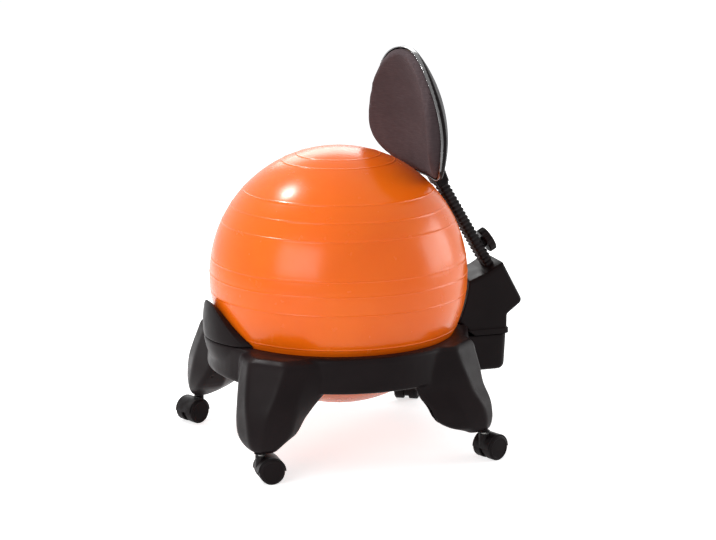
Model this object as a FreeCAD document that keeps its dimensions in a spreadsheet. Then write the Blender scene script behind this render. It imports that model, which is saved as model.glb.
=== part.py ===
import FreeCAD, Part
import math
import os
import re
import Sketcher

# Balance ball chair: an inflated seat ball in a moulded ring on four twin-wheel casters,
# with a padded backrest on a leaning post that slides up out of a sleeve.
# Millimetres. +Z is up, the chair faces -Y and the sitter's left is +X.
# The origin is on the floor under the centre of the ball.

SIZES = {
    # Seat ball
    "ball_diameter": 520, "ball_wall": 2, "ball_height": 347,
    "ridge_radius": 1.4, "ridge_sink": 0.8,
    "plug_radius": 5, "plug_head_radius": 10, "plug_head_height": 0.7, "plug_length": 18,
    "plug_bearing": 200, "plug_pitch": 14,
    # Base: ring, legs, nose under the ball stop, rear block
    "ring_top": 236, "ring_bottom": 166, "ring_radius": 262, "ring_flare": 5,
    "ring_opening": 204, "ring_round": 8, "ball_seat_gap": 0.3, "base_wall": 4,
    "foot_bottom": 60, "caster_side": 228, "caster_front": 234, "caster_rear": 228,
    "nose_back": 134, "nose_radius": 143, "nose_waist": 13, "nose_toe": 58, "nose_drop": 90,
    "block_top": 207.5, "block_bottom": 131, "block_rear": 349, "block_width": 108,
    "block_round": 16, "saddle_rear": 276, "saddle_front": 238,
    # Ball stop at the front
    "stop_rise": 73, "stop_half_width": 85, "stop_spread": 32, "stop_gap": 1.3,
    "stop_screw_x": 45, "stop_screw_y": 248, "stop_screw_grip": 12,
    # Casters
    "wheel_diameter": 50, "wheel_width": 20, "wheel_spread": 32, "wheel_face": 3,
    "caster_trail": 18, "axle_radius": 3, "axle_clearance": 0.08,
    "hood_radius": 28, "hood_width": 44, "hood_web": 10, "hood_clearance": 1,
    "hood_top": 54, "hood_boss_radius": 10,
    "stem_radius": 5.5, "stem_bottom": 38, "stem_top": 98, "stem_clearance": 0.1,
    "socket_wall": 3, "socket_flange": 12, "socket_flange_height": 2,
    # Post: leans forward, measured from where it leaves the back cover
    "post_lean": 30.5, "post_foot_y": 320.5, "post_foot_z": 347,
    "bar_width": 26, "bar_thickness": 5, "bar_bottom": -55, "bar_bend": 212,
    "bar_bend_radius": 20, "bar_tail": 25,
    "slide_clearance": 0.3, "bush_wall": 0.9, "bush_fit": 0.05, "bush_length": 130,
    "sleeve_wall": 1.5, "sleeve_top": 64, "sleeve_bottom": -72,
    "bellows_gap": 1.4, "bellows_wall": 1.2, "rib_height": 3, "bellows_length": 208,
    "rib_pitch": 9.2, "cuff_length": 5,
    # Bracket and cover of the back
    "plate_thickness": 4, "plate_front": 277, "plate_rear": 343, "plate_width": 96,
    "plate_gap": 0.3, "cheek_thickness": 3, "cheek_top": 20,
    "cover_width": 107, "cover_wall": 3, "cover_ball_gap": 10, "cover_front": 200, "cover_lip": 3,
    "cover_lip_height": 12, "cover_neck_top": 247, "cover_bump_y": 382, "cover_bump_z": 273,
    "cover_bump_round": 11, "cover_shoulder_y": 240, "cover_shoulder_z": 313,
    "cover_edge_round": 7, "facet_front": 20, "facet_rear": 19.5,
    "cover_screw_x": 36, "cover_lug_height": 22,
    # Knobs
    "knob_radius": 26, "knob_height": 16, "knob_stand": 16.5, "knob_hub_radius": 11,
    "knob_hub_start": 12, "knob_flutes": 8, "knob_flute_radius": 5,
    "knob_screw_radius": 4, "height_knob_at": 42, "boss_radius": 7, "boss_height": 6,
    "depth_knob_y": 286, "depth_knob_radius": 22, "depth_knob_drop": 4.5, "depth_nut_radius": 9,
    "depth_nut_height": 9, "depth_travel": 30, "slot_clearance": 0.5, "washer_radius": 12,
    "washer_height": 1.6, "thread_clearance": 0.1,
    # Backrest
    "back_y": 201.5, "back_z": 673.5, "back_tilt": 10, "back_half_width": 184,
    "back_half_height": 131, "back_egg": 0.15, "back_squareness": 2.28, "dish_radius": 270,
    "foam_depth": 24, "crown_radius": 310, "fabric_thickness": 1.5, "pad_round": 9,
    "board_thickness": 3, "board_inset": 4,
    "shell_depth": 6.5, "shell_wall": 2.5, "shell_rim": 3, "shell_lip": 2.5, "shell_round": 5,
    "shell_screw_sink": 3,
    "neck_width": 52, "neck_depth": 26, "neck_rise": 90, "neck_draw": 10, "mouth_depth": 5, "spine_room": 0.7,
    "back_screw_x": 80, "back_screw_z": 62, "back_boss_radius": 7,
    "bar_bolt_spread": 20, "bar_bolt_radius": 3, "bar_bolt_head": 2.6,
}

# Heights of the faint ridges round the ball, above its middle.
RIDGES = (246, 234, 176, 146, 114, 40, 10, -27, -99)

# One leg, from the foot (0) to the ring's top (1). Each row: height, then for the outer face, the
# shoulder, the flank, the flank beside a side arch on a front and on a rear leg, and the inner
# side a reach and a half width, and last how much further out a front leg stands than the mean.
# A reach of 0 is the ring's edge and 1 the caster's axis, the rest is millimetres.
LEG_ROWS = (
    (0.00, (1.13, 8), (0.92, 24), (0.76, 32), (0.76, 26), (0.74, 34), (0.60, 14), 2),
    (0.035, (1.20, 11), (0.95, 34), (0.73, 47), (0.73, 32), (0.52, 45), (0.40, 20), 2),
    (0.09, (1.24, 13), (0.91, 46), (0.60, 62), (0.62, 38), (0.24, 80), (0.10, 24), 2),
    (0.18, (1.26, 15), (0.84, 56), (0.34, 78), (0.36, 56), (-0.12, 104), (-0.20, 39), 2.5),
    (0.34, (1.18, 20), (0.68, 63), (-0.02, 87), (0.00, 64), (-0.36, 114), (-0.46, 50), 4.5),
    (0.51, (0.97, 27), (0.46, 66), (-0.31, 92), (-0.31, 82), (-0.76, 126), (-0.66, 64), 10),
    (0.68, (0.78, 33), (0.30, 69), (-0.63, 104), (-0.63, 104), (-0.80, 128), (-0.83, 72), 9),
    (0.86, (0.56, 38), (0.12, 68), (-0.71, 112), (-0.71, 112), (-0.80, 124), (-0.86, 70), 8),
    (0.95, (0.46, 39), (0.04, 66), (-0.74, 112), (-0.74, 112), (-0.80, 120), (-0.83, 64), 7),
    (0.995, (0.33, 34), (-0.08, 56), (-0.79, 104), (-0.79, 104), (-0.82, 108), (-0.81, 56), 5),
)
LEG_ROUNDS = (20, 26, 14, 14)
LEG_STEP = 0.06

# Casters: side along X, side along Y, direction in which the wheels trail, degrees from +X.
CASTERS = {
    "front_right": (-1, -1, -65),
    "front_left": (1, -1, 88),
    "rear_left": (1, 1, 112),
    "rear_right": (-1, 1, 150),
}

doc = FreeCAD.newDocument("BallChair")
sheet = doc.addObject("Spreadsheet::Sheet", "Sizes")
for row, (alias, value) in enumerate(SIZES.items(), start=1):
    sheet.set("A%d" % row, alias)
    sheet.set("B%d" % row, str(value))
    sheet.setAlias("B%d" % row, alias)
doc.recompute()

pieces = []


def size(text):
    """Value of an expression of named sizes."""
    return float(sheet.evalExpression(linked(text)))


def linked(text):
    """The same expression with each size pointed at its cell."""
    return re.sub(r"[a-z_]+", lambda word: "Sizes." + word[0] if word[0] in SIZES else word[0], text)


def vector(x, y, z):
    return FreeCAD.Vector(x, y, z)


X_AXIS = vector(1, 0, 0)
Y_AXIS = vector(0, 1, 0)
Z_AXIS = vector(0, 0, 1)


def place(x=0.0, y=0.0, z=0.0, axis=Z_AXIS, angle=0.0):
    return FreeCAD.Placement(vector(x, y, z), FreeCAD.Rotation(axis, angle))


def keep(thing, label):
    """Hand a finished object in as a node."""
    thing.Label = label
    pieces.append(thing)
    return thing


def bound(kind, name, **expressions):
    """A primitive whose properties follow the sheet."""
    thing = doc.addObject(kind, name)
    for prop, text in expressions.items():
        thing.setExpression(prop.replace("_at_", "Placement.Base."), linked(text))
    return thing


def cylinder(name, radius, height, **at):
    return bound("Part::Cylinder", name, Radius=radius, Height=height, **at)


def box(name, length, width, height, **at):
    return bound("Part::Box", name, Length=length, Width=width, Height=height, **at)


def fuse(name, parts):
    joined = doc.addObject("Part::MultiFuse", name)
    joined.Shapes = parts
    return joined


def cut(name, base, tools):
    """Base less one or more tools."""
    result = doc.addObject("Part::Cut", name)
    result.Base = base
    result.Tool = tools[0] if len(tools) == 1 else fuse(name + "_tools", tools)
    return result


def common(name, first, second):
    result = doc.addObject("Part::Common", name)
    result.Base = first
    result.Tool = second
    return result


def shape_node(label, shape, placement=None):
    """A node whose shape is worked out here from the sheet's sizes."""
    thing = doc.addObject("Part::Feature", label)
    thing.Shape = shape
    if placement:
        thing.Placement = placement
    return keep(thing, label)


def sketch_on(body, role):
    sketch = body.newObject("Sketcher::SketchObject", "Outline")
    plane = [part for part in body.Origin.OriginFeatures if part.Role == role][0]
    sketch.AttachmentSupport = [(plane, "")]
    sketch.MapMode = "FlatFace"
    return sketch


def draw_outline(sketch, corners):
    """Closed outline whose corners are pairs of expressions."""
    first = sketch.GeometryCount
    spots = [(size(across), size(along)) for across, along in corners]
    count = len(spots)
    for number, spot in enumerate(spots):
        following = spots[(number + 1) % count]
        line = Part.LineSegment(vector(*spot, 0), vector(*following, 0))
        sketch.addGeometry(line, False)
    for number in range(count):
        following = first + (number + 1) % count
        sketch.addConstraint(Sketcher.Constraint("Coincident", first + number, 2, following, 1))
    for number, corner in enumerate(corners):
        for text, value, kind, axis in zip(corner, spots[number], ("DistanceX", "DistanceY"), (-2, -1)):
            edge = first + number
            if text == "0":
                sketch.addConstraint(Sketcher.Constraint("PointOnObject", edge, 1, axis))
                continue
            rule = sketch.addConstraint(Sketcher.Constraint(kind, -1, 1, edge, 1, value))
            sketch.setExpression("Constraints[%d]" % rule, linked(text))


def turned(label, corners, placement=None):
    """Body turned about Z from an outline of (radius, height)."""
    body = doc.addObject("PartDesign::Body", label)
    sketch = sketch_on(body, "XZ_Plane")
    draw_outline(sketch, corners)
    turn = body.newObject("PartDesign::Revolution", "Turn")
    turn.Profile = sketch
    turn.ReferenceAxis = (sketch, ["V_Axis"])
    turn.Angle = 360
    if placement:
        body.Placement = placement
    return keep(body, label)


def plank(label, outlines, role, length, symmetric=False, placement=None):
    """Body padded from one outline, and a second one inside it where it is hollow."""
    body = doc.addObject("PartDesign::Body", label)
    sketch = sketch_on(body, role)
    for corners in outlines:
        draw_outline(sketch, corners)
    pad = body.newObject("PartDesign::Pad", "Pad")
    pad.Profile = sketch
    pad.SideType = "Symmetric" if symmetric else "One side"
    pad.setExpression("Length", linked(length))
    if placement:
        body.Placement = placement
    return keep(body, label)


def rectangle(width, depth):
    """Corners of a rectangle about the origin, from two expressions."""
    across, along = "(%s) / 2" % width, "(%s) / 2" % depth
    return [("-" + across, "-" + along), (across, "-" + along), (across, along), ("-" + across, along)]


def drill(body, role, radius, length, across="0", along="0"):
    """Round pocket from an origin plane of the body, through to one side of it."""
    before = body.Shape.Volume
    sketch = sketch_on(body, role)
    spot = vector(size(across), size(along), 0)
    ring = sketch.addGeometry(Part.Circle(spot, Z_AXIS, size(radius)), False)
    rule = sketch.addConstraint(Sketcher.Constraint("Radius", ring, size(radius)))
    sketch.setExpression("Constraints[%d]" % rule, linked(radius))
    for text, kind, axis in ((across, "DistanceX", -2), (along, "DistanceY", -1)):
        if text == "0":
            sketch.addConstraint(Sketcher.Constraint("PointOnObject", ring, 3, axis))
        else:
            rule = sketch.addConstraint(Sketcher.Constraint(kind, -1, 1, ring, 3, size(text)))
            sketch.setExpression("Constraints[%d]" % rule, linked(text))
    pocket = body.newObject("PartDesign::Pocket", "Drill")
    pocket.Profile = sketch
    pocket.setExpression("Length", linked(length))
    doc.recompute()
    if not body.Shape.Volume < before:
        raise ValueError("%s: the drilled hole cuts nothing" % body.Label)


def screw_set(label, seats, head_radius, head_height, shank_radius, shank_length):
    """Identical screws. Each seat is under a head, with the shank running down its own -Z."""
    screws = []
    for number, seat in enumerate(seats):
        name = "%s_%d" % (label, number)
        head = cylinder(name + "_head", head_radius, head_height)
        shank = cylinder(name + "_shank", shank_radius, shank_length, _at_z="-(%s)" % shank_length)
        screw = fuse(name, [head, shank])
        screw.Placement = seat
        screws.append(screw)
    group = doc.addObject("Part::Compound", label)
    group.Links = screws
    return keep(group, label)


def rounded_wire(corners, rounds):
    """Closed wire of lines and tangent arcs through corners in space, rounded where it fits."""
    count = len(corners)
    starts, middles, ends = [], [], []
    for number, corner in enumerate(corners):
        back = corners[number - 1] - corner
        ahead = corners[(number + 1) % count] - corner
        half = back.getAngle(ahead) / 2
        shorter = min(back.Length, ahead.Length)
        setback = min(rounds[number] / math.tan(half), 0.45 * shorter)
        radius = setback * math.tan(half)
        back.normalize()
        ahead.normalize()
        bisector = (back + ahead).normalize()
        starts.append(corner + back * setback)
        ends.append(corner + ahead * setback)
        middles.append(corner + bisector * (radius / math.sin(half) - radius))
    edges = []
    for number in range(count):
        edges.append(Part.Arc(starts[number], middles[number], ends[number]).toShape())
        edges.append(Part.LineSegment(ends[number], starts[(number + 1) % count]).toShape())
    return Part.Wire(edges)


def prism(points, rise):
    """Prism on a closed outline of points."""
    return Part.Face(Part.makePolygon(points + [points[0]])).extrude(rise)


def side_prism(points, half_width):
    """Prism across the chair on an outline of (y, z) points, centred on X = 0."""
    return prism([vector(-half_width, y, z) for y, z in points], vector(2 * half_width, 0, 0))


def edges_where(shape, test):
    return [edge for edge in shape.Edges if test(edge)]


def caster_foot(side_x, side_y):
    along = size("caster_rear") if side_y > 0 else size("caster_front")
    return vector(side_x * size("caster_side"), side_y * along, 0)


def post_frame(along=0.0):
    """Frame on the post: Z runs up the post, Y to the rear, its origin on the cover."""
    lean = size("post_lean")
    frame = place(0, size("post_foot_y"), size("post_foot_z"), X_AXIS, lean)
    return frame.multiply(place(z=along))


def back_frame():
    """Frame of the backrest: Y to the rear, Z up the tilted pad."""
    return place(0, size("back_y"), size("back_z"), X_AXIS, size("back_tilt"))


# Base

def leg_table(step):
    """The leg's rows as flat lists, with smooth rows between them no more than a step apart."""
    table = []
    for row in LEG_ROWS:
        table.append([row[0]] + [number for pair in row[1:-1] for number in pair] + [row[-1]])

    def slope(row, column):
        low, high = table[max(row - 1, 0)], table[min(row + 1, len(table) - 1)]
        return (high[column] - low[column]) / (high[0] - low[0])

    rows = []
    for number, (low, high) in enumerate(zip(table, table[1:])):
        rise = high[0] - low[0]
        parts = max(1, math.ceil(rise / step))
        for part in range(parts):
            t = part / parts
            start, end = 2 * t ** 3 - 3 * t ** 2 + 1, 3 * t ** 2 - 2 * t ** 3
            leave, enter = (t ** 3 - 2 * t ** 2 + t) * rise, (t ** 3 - t ** 2) * rise
            rows.append([start * low[column] + end * high[column] + leave * slope(number, column)
                         + enter * slope(number + 1, column) for column in range(len(low))])
    return rows + [table[-1]]


def leg_solid(side_x, side_y, inset):
    """One leg through rounded sections, or its cavity through plain ones drawn in by inset."""
    foot = caster_foot(side_x, side_y)
    outward = vector(foot.x, foot.y, 0).normalize()
    across = vector(-outward.y, outward.x, 0)
    arch_side = 1 if side_x * side_y < 0 else -1
    edge = size("ring_radius")
    low, high = size("foot_bottom") + inset, size("ring_top") - inset
    wires = []
    for row in leg_table(1 if inset else LEG_STEP):
        middle = vector(0, 0, low + row[0] * (high - low))
        lead = -side_y * row[-1]
        outer, shoulder, flank, front_arch, rear_arch, inner = zip(row[1:-1:2], row[2:-1:2])
        arch = front_arch if side_y < 0 else rear_arch
        sides = []
        for hand in (1, -1):
            spots = (outer, shoulder, arch if hand == arch_side else flank, inner)
            side = []
            for number, (where, half) in enumerate(spots):
                radial = edge + where * (foot.Length - edge) + (lead if number < 2 else 0)
                radial += inset if number == 3 else -inset
                side.append(middle + outward * radial + across * hand * max(half - inset, 2))
            sides.append(side)
        corners = sides[0] + sides[1][::-1]
        if inset:
            wires.append(Part.makePolygon(corners + corners[:1]))
        else:
            wires.append(rounded_wire(corners, LEG_ROUNDS + LEG_ROUNDS[::-1]))
    return Part.makeLoft(wires, True, True)


def ring_solid(inset):
    """Ring under the ball, its inner side cut to the ball later."""
    top, bottom = size("ring_top") - inset, size("ring_bottom") + inset
    outer, flare, turn = size("ring_radius") - inset, size("ring_flare"), size("ring_round")
    inner = size("ring_opening - 20")
    corners = [vector(inner, 0, bottom), vector(outer + flare, 0, bottom), vector(outer, 0, top),
               vector(inner, 0, top)]
    section = Part.Face(rounded_wire(corners, [1, turn, turn, 1]))
    return section.revolve(vector(0, 0, 0), Z_AXIS, 360)


def nose_curve(inset):
    """Front bulge from the ring's top down to its toe, as radii about an axis behind it."""
    radius, top = size("nose_radius") - inset, size("ring_top")
    waist = vector(radius - size("nose_waist"), 0, top - size("nose_drop") / 2)
    toe = vector(radius - size("nose_toe") + inset, 0, top - size("nose_drop") + inset)
    return vector(radius, 0, top), waist, toe


def nose_solid(inset):
    start, waist, toe = nose_curve(inset)
    start_low = vector(start.x, 0, start.z - inset)
    curve = Part.Arc(start, waist, toe).toShape()
    foot = vector(0, 0, toe.z)
    head = vector(0, 0, start.z)
    edges = [curve, Part.makeLine(toe, foot), Part.makeLine(foot, head), Part.makeLine(head, start)]
    solid = Part.Face(Part.Wire(edges)).revolve(vector(0, 0, 0), Z_AXIS, 360)
    if inset:
        lid = Part.makeBox(2 * start.x, 2 * start.x, inset, vector(-start.x, -start.x, start_low.z))
        solid = solid.cut(lid)
    solid.translate(vector(0, -size("nose_back"), 0))
    return solid


def block_solid(inset):
    """Rear block that carries the back."""
    half = size("block_width") / 2 - inset
    rear, front = size("block_rear") - inset, size("ring_opening")
    top, bottom = size("block_top") - inset, size("block_bottom") + inset
    draft = size("base_wall")
    solid = side_prism([(front, bottom), (rear - draft, bottom), (rear, top), (front, top)], half)
    turn = max(size("block_round") - inset, 2)
    rims = edges_where(solid, lambda edge: edge.CenterOfMass.y > rear - 2 * draft
                       and edge.CenterOfMass.z < top - 1)
    solid = solid.makeFillet(turn, rims)
    under = edges_where(solid, lambda edge: abs(edge.CenterOfMass.z - bottom) < 0.01
                        and abs(abs(edge.CenterOfMass.x) - half) < 0.01)
    return solid.makeFillet(turn * 0.7, under)


def base_outer(inset):
    """Base without its holes, or its cavity when drawn in by a wall."""
    legs = [leg_solid(side_x, side_y, inset) for side_x, side_y, trail in CASTERS.values()]
    solid = ring_solid(inset).fuse(legs + [nose_solid(inset), block_solid(inset)])
    ball = Part.makeSphere(size("ball_diameter / 2 + ball_seat_gap") + inset,
                           vector(0, 0, size("ball_height")))
    well = Part.makeCylinder(size("ring_opening") + inset, size("ring_top"))
    solid = solid.cut([ball, well])
    return solid.cut(saddle_wedge(inset))


def saddle_slope(raised):
    """Slope of the base under the cover: (y, z) at the block and at the ring, raised square on."""
    rear, front = size("saddle_rear"), size("saddle_front")
    low, high = size("block_top"), size("ring_top")
    length = math.hypot(rear - front, high - low)
    rise = raised * length / (rear - front)
    return (rear, low + rise), (front, high + rise)


def saddle_wedge(inset):
    """What is cut off the ring's rear edge so that the cover can straddle it."""
    (rear, low), (front, high) = saddle_slope(-inset)
    half = size("cover_width / 2 + cover_lip + 1") + inset
    reach = size("block_rear")
    above = size("ring_top") + 10
    wedge = [(front, high), (rear, low), (reach, low), (reach, above), (front, above)]
    return side_prism(wedge, half)


def slot_cutter(radius, top, bottom):
    """Upright slot for the depth screw, as long as its travel."""
    middle = size("depth_knob_y")
    travel = size("depth_travel")
    tall = top - bottom
    first = Part.makeCylinder(radius, tall, vector(0, middle, bottom))
    last = Part.makeCylinder(radius, tall, vector(0, middle + travel, bottom))
    between = Part.makeBox(2 * radius, travel, tall, vector(-radius, middle, bottom))
    return first.fuse([between, last]).removeSplitter()


def stop_screw_spots():
    side, front = size("stop_screw_x"), size("stop_screw_y")
    return [vector(-side, -front, 0), vector(side, -front, 0)]


def base_frame():
    wall = size("base_wall")
    top, foot = size("ring_top"), size("foot_bottom")
    shoulder = top - size("stop_screw_grip")
    socket = size("stem_radius + stem_clearance + socket_wall")
    slot = size("knob_screw_radius + slot_clearance")
    columns = []
    holes = []
    for side_x, side_y, trail in CASTERS.values():
        spot = caster_foot(side_x, side_y) + vector(0, 0, foot)
        deep = size("stem_top + stem_clearance + socket_wall - foot_bottom")
        columns.append(Part.makeCylinder(socket + wall, deep + wall, spot))
        holes.append(Part.makeCylinder(socket, deep, spot))
    for spot in stop_screw_spots():
        columns.append(Part.makeCylinder(size("3 * axle_radius") + wall, top, spot))
        holes.append(Part.makeCylinder(size("2 * axle_radius"), shoulder, spot))
        holes.append(Part.makeCylinder(size("axle_radius"), top + 1, spot))
    block_top, block_bottom = size("block_top"), size("block_bottom")
    columns.append(slot_cutter(slot + wall, block_top, block_bottom))
    holes.append(slot_cutter(slot, block_top + 1, block_bottom - 1))
    cavity = base_outer(wall).cut(columns)
    return base_outer(0).cut(holes).cut(cavity)


def ball_stop():
    """Raised stop at the front: the nose carried on upwards, hugging the ball."""
    low, rise = size("ring_top"), size("stop_rise")
    radius, back = size("nose_radius"), size("nose_back")
    foot = vector(radius, 0, low)
    belly = vector(radius + 2, 0, low + 0.3 * rise)
    tip = vector(radius - 4, 0, low + rise + 2)
    roof = vector(0, 0, tip.z)
    floor = vector(0, 0, low)
    edges = [Part.Arc(foot, belly, tip).toShape(), Part.makeLine(tip, roof),
             Part.makeLine(roof, floor), Part.makeLine(floor, foot)]
    body = Part.Face(Part.Wire(edges)).revolve(vector(0, 0, 0), Z_AXIS, 360)
    body.translate(vector(0, -back, 0))
    front = -back - radius - 5
    rear = front + 90
    half = size("stop_half_width")
    spread = size("stop_spread")

    def arch(y, half_width, height):
        ellipse = Part.Ellipse(vector(0, y, low), max(half_width, height), min(half_width, height))
        major = X_AXIS if half_width > height else Z_AXIS
        minor = Z_AXIS if half_width > height else -X_AXIS
        ellipse = Part.Ellipse(vector(0, y, low) + major * max(half_width, height),
                               vector(0, y, low) + minor * min(half_width, height),
                               vector(0, y, low))
        start = ellipse.parameter(vector(half_width, y, low))
        curve = ellipse.toShape(start, start + math.pi)
        if curve.CenterOfMass.z < low:
            curve = ellipse.toShape(start + math.pi, start + 2 * math.pi)
        ends = [vertex.Point for vertex in curve.Vertexes]
        return Part.Wire([curve, Part.makeLine(ends[1], ends[0])])

    wedge = Part.makeLoft([arch(front, half, rise + 12), arch(rear, half + spread, 8)], True, True)
    ball = Part.makeSphere(size("ball_diameter / 2 + stop_gap"), vector(0, 0, size("ball_height")))
    solid = body.common(wedge).cut(ball)
    for spot in stop_screw_spots():
        solid = solid.cut(Part.makeCylinder(size("axle_radius * 0.8"), low + 16, spot))
    return max(solid.Solids, key=lambda part: part.Volume)


shape_node("base_frame", base_frame())
shape_node("front_ball_stop", ball_stop())
stop_seats = [FreeCAD.Placement(spot + vector(0, 0, size("ring_top - stop_screw_grip")),
                                FreeCAD.Rotation(X_AXIS, 180)) for spot in stop_screw_spots()]
screw_set("ball_stop_screws", stop_seats, "2 * axle_radius - 0.5", "axle_radius",
          "axle_radius * 0.8", "stop_screw_grip + 14")


# Seat ball and its plug

def ball_pieces():
    skin = bound("Part::Sphere", "BallSkin", Radius="ball_diameter / 2")
    rings = []
    for number, height in enumerate(RIDGES):
        core = "(ball_diameter / 2 - ridge_sink)"
        ridge = bound("Part::Torus", "Ridge%d" % number, Radius2="ridge_radius",
                      Radius1="sqrt(%s ^ 2 - %d ^ 2)" % (core, height))
        ridge.Placement.Base.z = height
        rings.append(ridge)
    air = bound("Part::Sphere", "BallAir", Radius="ball_diameter / 2 - ball_wall")
    hole = cylinder("PlugHole", "plug_radius", "ball_diameter")
    bearing = size("plug_bearing")
    outward = FreeCAD.Rotation(Z_AXIS, bearing).multiply(
        FreeCAD.Rotation(Y_AXIS, 90 + size("plug_pitch")))
    hole.Placement = FreeCAD.Placement(vector(0, 0, 0), outward)
    ball = cut("Ball", fuse("RidgedBall", [skin] + rings), [air, hole])
    ball.Placement = place(z=size("ball_height"))
    keep(ball, "ball")
    rim = "ball_diameter / 2 + 0.2"
    corners = [("0", rim + " - plug_length"), ("plug_radius - 0.05", rim + " - plug_length"),
               ("plug_radius - 0.05", rim), ("plug_head_radius", rim),
               ("plug_head_radius", rim + " + plug_head_height"), ("0", rim + " + plug_head_height")]
    turned("ball_plug", corners, FreeCAD.Placement(vector(0, 0, size("ball_height")), outward))


ball_pieces()


# Casters

def caster_socket(name, foot):
    lining = "stem_radius + stem_clearance"
    outer = lining + " + socket_wall - 0.02"
    floor, top = "foot_bottom", "stem_top + stem_clearance"
    corners = [(lining, floor + " - socket_flange_height"),
               ("socket_flange", floor + " - socket_flange_height"), ("socket_flange", floor),
               (outer, floor), (outer, top + " + socket_wall - 0.1"),
               ("0", top + " + socket_wall - 0.1"), ("0", top), (lining, top)]
    turned(name + "_caster_socket", corners, foot)


def caster_stem(name, foot):
    groove = "stem_radius - 0.8"
    neck = "stem_top - 12"
    corners = [("0", "stem_bottom"), ("stem_radius", "stem_bottom"), ("stem_radius", neck),
               (groove, neck), (groove, neck + " + 2"), ("stem_radius", neck + " + 2"),
               ("stem_radius", "stem_top - 1.5"), ("stem_radius - 1.5", "stem_top"),
               ("0", "stem_top")]
    turned(name + "_caster_stem", corners, foot)


def lying(thing, start):
    """Turn a cylinder's axis along X, from start, at the wheels' axle."""
    thing.Placement = place(size(start), size("caster_trail"), size("wheel_diameter / 2"), Y_AXIS, 90)
    return thing


def caster_hood(name, foot):
    arch = lying(cylinder(name + "_arch", "hood_radius", "hood_width"), "-hood_width / 2")
    upper = box(name + "_upper", "hood_width", "4 * hood_radius", "2 * hood_radius",
                _at_x="-hood_width / 2", _at_y="-hood_radius", _at_z="wheel_diameter / 2")
    shell = common(name + "_shell", arch, upper)
    web = lying(cylinder(name + "_web", "hood_radius - 8", "hood_web"), "-hood_web / 2")
    boss = cylinder(name + "_boss", "hood_boss_radius", "hood_top - wheel_diameter / 2",
                    _at_z="wheel_diameter / 2")
    solid = fuse(name + "_solid", [shell, web, boss])
    room = "wheel_diameter / 2 + hood_clearance"
    left = lying(cylinder(name + "_left", room, "hood_width"), "hood_web / 2")
    right = lying(cylinder(name + "_right", room, "hood_width"), "-hood_web / 2 - hood_width")
    stem = cylinder(name + "_stem", "stem_radius", "hood_radius * 2", _at_z="stem_bottom")
    axle = lying(cylinder(name + "_axle", "axle_radius", "hood_web * 2"), "-hood_web")
    hood = cut(name + "_hood", solid, [left, right, stem, axle])
    hood.Placement = foot
    keep(hood, name + "_caster_hood")


def caster_axle(name, foot):
    half = "(wheel_spread / 2 + wheel_width / 2 - wheel_face - 0.5)"
    axle = cylinder(name + "_caster_axle", "axle_radius", "2 * " + half)
    at = place(-size(half), size("caster_trail"), size("wheel_diameter / 2"), Y_AXIS, 90)
    axle.Placement = foot.multiply(at)
    keep(axle, name + "_caster_axle")


def caster_wheel(name, hand, foot):
    rim, width = "wheel_diameter / 2", "wheel_width"
    bore = "axle_radius + axle_clearance"
    corners = [(bore, "0.5"), ("axle_radius + 4", "0.5"), ("axle_radius + 4", width + " - 7"),
               (rim + " - 3.5", width + " - 7"), (rim + " - 3.5", "0"), (rim + " - 1", "0"),
               (rim, "1"), (rim, width + " - 3"), (rim + " - 2.5", width + " - 0.6"),
               (rim + " - 5", width), (rim + " - 6", width + " - 0.8"), ("0", width + " - 0.8"),
               ("0", width + " - wheel_face"), (bore, width + " - wheel_face")]
    inner = size("wheel_spread / 2 - wheel_width / 2")
    side = 1 if hand == "left" else -1
    at = place(side * inner, size("caster_trail"), size("wheel_diameter / 2"), Y_AXIS, side * 90)
    turned("%s_caster_%s_wheel" % (name, hand), corners, foot.multiply(at))


for name, (side_x, side_y, trail) in CASTERS.items():
    spot = caster_foot(side_x, side_y)
    foot = place(spot.x, spot.y, 0, Z_AXIS, trail - 90)
    caster_socket(name, foot)
    caster_stem(name, foot)
    caster_hood(name, foot)
    caster_axle(name, foot)
    for hand in ("left", "right"):
        caster_wheel(name, hand, foot)


# Post: flat bar in a lined sleeve

BAR_ROOM = ("bar_width + 2 * slide_clearance", "bar_thickness + 2 * slide_clearance")
BUSH = tuple(text + " + 2 * bush_wall" for text in BAR_ROOM)
SLEEVE_ROOM = tuple(text + " + 2 * bush_fit" for text in BUSH)
SLEEVE = tuple(text + " + 2 * sleeve_wall" for text in SLEEVE_ROOM)
BELLOWS_BORE = tuple(text + " + 2 * bellows_gap" for text in SLEEVE)
BELLOWS = tuple(text + " + 2 * bellows_wall" for text in BELLOWS_BORE)

sleeve = plank("post_sleeve", [rectangle(*SLEEVE), rectangle(*SLEEVE_ROOM)], "XY_Plane",
               "sleeve_top - sleeve_bottom", placement=post_frame(size("sleeve_bottom")))
bush = plank("sleeve_bush", [rectangle(*BUSH), rectangle(*BAR_ROOM)], "XY_Plane", "bush_length",
             placement=post_frame(size("sleeve_top - bush_length")))
doc.recompute()
drill(sleeve, "XZ_Plane", "knob_screw_radius + thread_clearance", "bar_width",
      along="height_knob_at - sleeve_bottom")
drill(bush, "XZ_Plane", "knob_screw_radius + thread_clearance", "bar_width",
      along="height_knob_at - sleeve_top + bush_length")


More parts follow.
